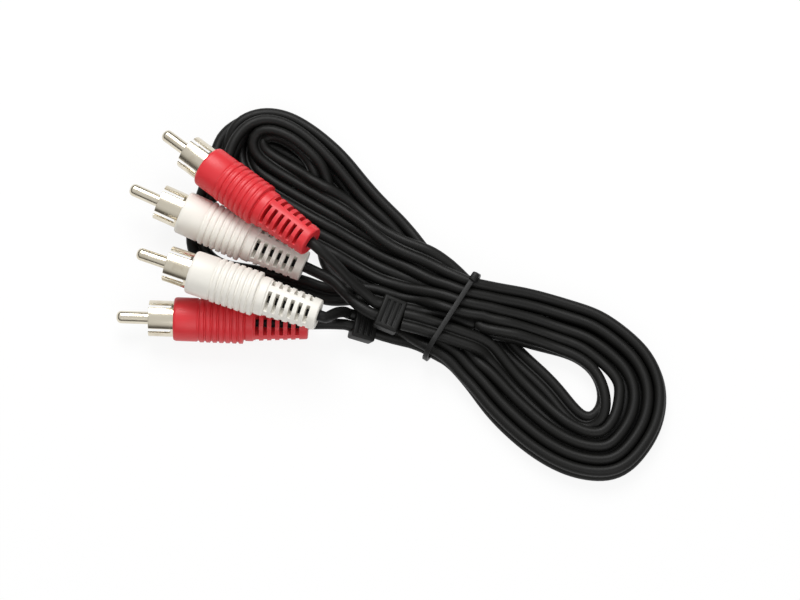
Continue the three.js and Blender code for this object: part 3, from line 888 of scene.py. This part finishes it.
# Mask for a painted edge highlight: 0 on the flats and 1 on sharp edges
def makeEdgeHighlightGroup():
    group = bpy.data.node_groups.new("painted edge highlight", "ShaderNodeTree")
    newSocket(group, "Width", "INPUT", "NodeSocketFloat", 0.0002)
    newSocket(group, "Strength", "INPUT", "NodeSocketFloat", 1.0)
    newSocket(group, "Edge", "OUTPUT", "NodeSocketFloat")
    given = addNode(group, "NodeGroupInput")
    result = addNode(group, "NodeGroupOutput")
    rounded = addNode(group, "ShaderNodeBevel", samples=4)
    plain = addNode(group, "ShaderNodeNewGeometry")
    dot = addNode(group, "ShaderNodeVectorMath", operation="DOT_PRODUCT")
    span = addNode(group, "ShaderNodeMapRange")
    span.inputs["From Min"].default_value = 0.995
    span.inputs["From Max"].default_value = 0.88
    strength = addNode(group, "ShaderNodeMath", operation="MULTIPLY", use_clamp=True)
    group.links.new(given.outputs["Width"], rounded.inputs["Radius"])
    group.links.new(rounded.outputs[0], dot.inputs[0])
    group.links.new(plain.outputs["Normal"], dot.inputs[1])
    group.links.new(dot.outputs["Value"], span.inputs["Value"])
    group.links.new(span.outputs["Result"], strength.inputs[0])
    group.links.new(given.outputs["Strength"], strength.inputs[1])
    group.links.new(strength.outputs[0], result.inputs["Edge"])
    return group


grainGroup = makeGrainGroup()
edgeHighlightGroup = makeEdgeHighlightGroup()


def linear(red, green, blue):
    def one(value):
        value /= 255
        return value / 12.92 if value <= 0.04045 else ((value + 0.055) / 1.055) ** 2.4
    return (one(red), one(green), one(blue), 1)


# each finish's edge colour is a painted highlight, mixed in lighter along sharp edges
finishes = {
    "redVinyl": {
        "colour": linear(213, 43, 51), "edge": linear(236, 92, 92), "edgeHighlightStrength": 0.35,
        "roughness": 0.42, "uneven": 0.12, "mottle": 0.10, "grain": 3200, "bump": 0.05,
    },
    "whiteVinyl": {
        "colour": linear(233, 230, 222), "edge": linear(246, 245, 241), "edgeHighlightStrength": 0.4,
        "roughness": 0.42, "uneven": 0.12, "mottle": 0.05, "grain": 3200, "bump": 0.05,
    },
    "cordVinyl": {
        "colour": linear(15, 15, 14), "edge": linear(26, 26, 25), "edgeHighlightStrength": 0.3,
        "roughness": 0.5, "uneven": 0.16, "mottle": 0.3, "grain": 5200, "bump": 0.05,
        "specular": 0.24,
    },
    "insulatorPlastic": {
        "colour": linear(226, 214, 190), "edge": linear(240, 232, 214), "edgeHighlightStrength": 0.3,
        "roughness": 0.5, "uneven": 0.1, "mottle": 0.06, "grain": 4000, "bump": 0.03,
    },
    "mouldPlastic": {
        "colour": linear(206, 200, 184), "edge": linear(220, 214, 200), "edgeHighlightStrength": 0.2,
        "roughness": 0.6, "uneven": 0.1, "mottle": 0.08, "grain": 3000, "bump": 0.06,
    },
    "tiePlastic": {
        "colour": linear(15, 15, 15), "edge": linear(30, 30, 30), "edgeHighlightStrength": 0.4,
        "roughness": 0.48, "uneven": 0.14, "mottle": 0.2, "grain": 4200, "bump": 0.04,
        "specular": 0.3,
    },
}


def plasticMaterial(name, finish):
    material = bpy.data.materials.new(name)
    material.use_nodes = True
    tree = material.node_tree
    shader = tree.nodes["Principled BSDF"]
    shader.inputs["Specular IOR Level"].default_value = finish.get("specular", 0.5)
    grain = addNode(tree, "ShaderNodeGroup", node_tree=grainGroup)
    edges = addNode(tree, "ShaderNodeGroup", node_tree=edgeHighlightGroup)
    edges.inputs["Width"].default_value = 0.00022
    edges.inputs["Strength"].default_value = finish["edgeHighlightStrength"]
    grain.inputs["Mottle"].default_value = finish["mottle"]
    grain.inputs["Roughness"].default_value = finish["roughness"]
    grain.inputs["Uneven"].default_value = finish["uneven"]
    grain.inputs["Grain Scale"].default_value = finish["grain"]
    # painted highlight: the lighter edge colour is mixed in along sharp edges
    mix = addNode(tree, "ShaderNodeMix", data_type="RGBA")
    mix.inputs[6].default_value = finish["colour"]
    mix.inputs[7].default_value = finish["edge"]
    tree.links.new(edges.outputs["Edge"], mix.inputs[0])
    tree.links.new(mix.outputs[2], grain.inputs["Colour"])
    tree.links.new(grain.outputs["Colour"], shader.inputs["Base Color"])
    tree.links.new(grain.outputs["Roughness"], shader.inputs["Roughness"])
    bump = addNode(tree, "ShaderNodeBump")
    bump.inputs["Strength"].default_value = finish["bump"]
    bump.inputs["Distance"].default_value = 0.0001
    tree.links.new(grain.outputs["Height"], bump.inputs["Height"])
    tree.links.new(bump.outputs["Normal"], shader.inputs["Normal"])
    return material


# Nickel plate: fine turning marks round the ring and pin, and a warm tarnish
nickelFinish = {
    "colour": linear(226, 218, 200), "tarnish": linear(176, 158, 128), "roughness": 0.2,
}


def nickelMaterial():
    material = bpy.data.materials.new("nickel plate")
    material.use_nodes = True
    tree = material.node_tree
    shader = tree.nodes["Principled BSDF"]
    shader.inputs["Metallic"].default_value = 1
    place = addNode(tree, "ShaderNodeTexCoord")
    cloud = addNode(tree, "ShaderNodeTexNoise")
    cloud.inputs["Scale"].default_value = 260
    cloud.inputs["Detail"].default_value = 5
    span = addNode(tree, "ShaderNodeMapRange")
    span.inputs["From Min"].default_value = 0.52
    span.inputs["From Max"].default_value = 0.78
    span.inputs["To Max"].default_value = 0.45
    mix = addNode(tree, "ShaderNodeMix", data_type="RGBA")
    mix.inputs[6].default_value = nickelFinish["colour"]
    mix.inputs[7].default_value = nickelFinish["tarnish"]
    rough = addNode(tree, "ShaderNodeMapRange")
    rough.inputs["To Min"].default_value = nickelFinish["roughness"] - 0.06
    rough.inputs["To Max"].default_value = nickelFinish["roughness"] + 0.14
    stretch = addNode(tree, "ShaderNodeMapping")
    stretch.inputs["Scale"].default_value = (9000, 500, 500)
    marks = addNode(tree, "ShaderNodeTexNoise")
    marks.inputs["Scale"].default_value = 1
    marks.inputs["Detail"].default_value = 2
    bump = addNode(tree, "ShaderNodeBump")
    bump.inputs["Strength"].default_value = 0.04
    bump.inputs["Distance"].default_value = 0.00005
    tree.links.new(place.outputs["Object"], cloud.inputs["Vector"])
    tree.links.new(cloud.outputs["Fac"], span.inputs["Value"])
    tree.links.new(span.outputs["Result"], mix.inputs[0])
    tree.links.new(mix.outputs[2], shader.inputs["Base Color"])
    tree.links.new(cloud.outputs["Fac"], rough.inputs["Value"])
    tree.links.new(rough.outputs["Result"], shader.inputs["Roughness"])
    tree.links.new(place.outputs["Object"], stretch.inputs["Vector"])
    tree.links.new(stretch.outputs["Vector"], marks.inputs["Vector"])
    tree.links.new(marks.outputs["Fac"], bump.inputs["Height"])
    tree.links.new(bump.outputs["Normal"], shader.inputs["Normal"])
    return material


materials = {name: plasticMaterial(name, finish) for name, finish in finishes.items()}
materials["nickel"] = nickelMaterial()


def dress(obj, material):
    obj.data.materials.clear()
    obj.data.materials.append(materials[material])


def standIn(obj, node, material):
    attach(obj, "root")
    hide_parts(node)
    dress(obj, material)


for name, parts in plugs.items():
    shade = name.split("_")[0]
    standIn(parts["grip"], f"{name}_grip", f"{shade}Vinyl")
    standIn(parts["ring"], f"{name}_ring", "nickel")
    standIn(parts["pin"], f"{name}_pin", "nickel")
    standIn(parts["insulator"], f"{name}_insulator", "insulatorPlastic")
    dress(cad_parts[f"{name}_inner_mould"], "mouldPlastic")
for name, obj in splitters.items():
    standIn(obj, name, "cordVinyl")
standIn(tieFine, "tie", "tiePlastic")
standIn(twin, "twin_cord_hank", "cordVinyl")
for name, (obj, _) in leads.items():
    standIn(obj, name, "cordVinyl")
print("materials given")

for name, (obj, path) in leads.items():
    route = leadRoutes[name]
    parts = plugs[route["plug"]]

# Floor, lamps and the light all round

studio = {
    "floorSize": 6.0,
    "floorGlow": 0.88,  # of the white that the camera sees on the floor
    "sky": (  # height, with the horizon at 0 and the zenith at 1, and light
        (0, (0.05, 0.042, 0.034)), (0.32, (0.1, 0.088, 0.075)), (0.52, (0.8, 0.79, 0.77)),
        (0.75, (1, 1, 1)),
    ),
    "skyStrength": 0.7,
}


def makeFloor():
    bpy.ops.mesh.primitive_plane_add(size=studio["floorSize"], location=(0, 0, 0))
    floor = bpy.context.object
    floor.name = "floor"
    material = bpy.data.materials.new("white table")
    material.use_nodes = True
    tree = material.node_tree
    shader = tree.nodes["Principled BSDF"]
    shader.inputs["Base Color"].default_value = (0.86, 0.86, 0.86, 1)
    shader.inputs["Roughness"].default_value = 0.9
    glow = addNode(tree, "ShaderNodeEmission")
    glow.inputs["Color"].default_value = (1, 1, 1, 1)
    glow.inputs["Strength"].default_value = 1.0
    rays = addNode(tree, "ShaderNodeLightPath")
    seen = addNode(tree, "ShaderNodeMath", operation="MAXIMUM")
    share = addNode(tree, "ShaderNodeMath", operation="MULTIPLY")
    share.inputs[1].default_value = studio["floorGlow"]
    mix = addNode(tree, "ShaderNodeMixShader")
    tree.links.new(rays.outputs["Is Camera Ray"], seen.inputs[0])
    tree.links.new(rays.outputs["Is Glossy Ray"], seen.inputs[1])
    tree.links.new(seen.outputs[0], share.inputs[0])
    tree.links.new(share.outputs[0], mix.inputs["Fac"])
    tree.links.new(shader.outputs[0], mix.inputs[1])
    tree.links.new(glow.outputs[0], mix.inputs[2])
    tree.links.new(mix.outputs[0], tree.nodes["Material Output"].inputs["Surface"])
    floor.data.materials.append(material)


def makeWorld():
    world = bpy.data.worlds.new("studio")
    bpy.context.scene.world = world
    world.use_nodes = True
    tree = world.node_tree
    surround = tree.nodes["Background"]
    surround.inputs["Strength"].default_value = studio["skyStrength"]
    # bright overhead and dark round the horizon, as under a soft box
    place = addNode(tree, "ShaderNodeTexCoord")
    parts = addNode(tree, "ShaderNodeSeparateXYZ")
    ramp = addNode(tree, "ShaderNodeValToRGB")
    for at, shade in studio["sky"]:
        stop = ramp.color_ramp.elements[0] if at == 0 else ramp.color_ramp.elements.new(at)
        stop.color = (*shade, 1)
    ramp.color_ramp.elements.remove(ramp.color_ramp.elements[-1])
    tree.links.new(place.outputs["Generated"], parts.inputs[0])
    tree.links.new(parts.outputs["Z"], ramp.inputs["Fac"])
    tree.links.new(ramp.outputs["Color"], surround.inputs["Color"])
    seen = addNode(tree, "ShaderNodeBackground")
    seen.inputs["Color"].default_value = (1, 1, 1, 1)
    seen.inputs["Strength"].default_value = 1
    rays = addNode(tree, "ShaderNodeLightPath")
    mix = addNode(tree, "ShaderNodeMixShader")
    tree.links.new(rays.outputs["Is Camera Ray"], mix.inputs["Fac"])
    tree.links.new(surround.outputs[0], mix.inputs[1])
    tree.links.new(seen.outputs[0], mix.inputs[2])
    tree.links.new(mix.outputs[0], tree.nodes["World Output"].inputs["Surface"])


# Soft boxes: place, what they point at, size and power
lamps = {
    "key": {"place": (-0.35, 0.45, 0.75), "size": 0.5, "power": 6.2},
    "fill": {"place": (0.6, -0.5, 0.7), "size": 0.7, "power": 2.5},
}


def makeLamps():
    for name, lamp in lamps.items():
        data = bpy.data.lights.new(name, "AREA")
        data.shape = "SQUARE"
        data.size = lamp["size"]
        data.energy = lamp["power"]
        obj = bpy.data.objects.new(name, data)
        obj.location = lamp["place"]
        toObject = Vector((0, 0.01, 0)) - Vector(lamp["place"])
        obj.rotation_euler = toObject.to_track_quat("-Z", "Y").to_euler()
        bpy.context.scene.collection.objects.link(obj)


makeFloor()
makeWorld()
makeLamps()
bpy.context.scene.view_settings.view_transform = "Standard"
print("stage set")
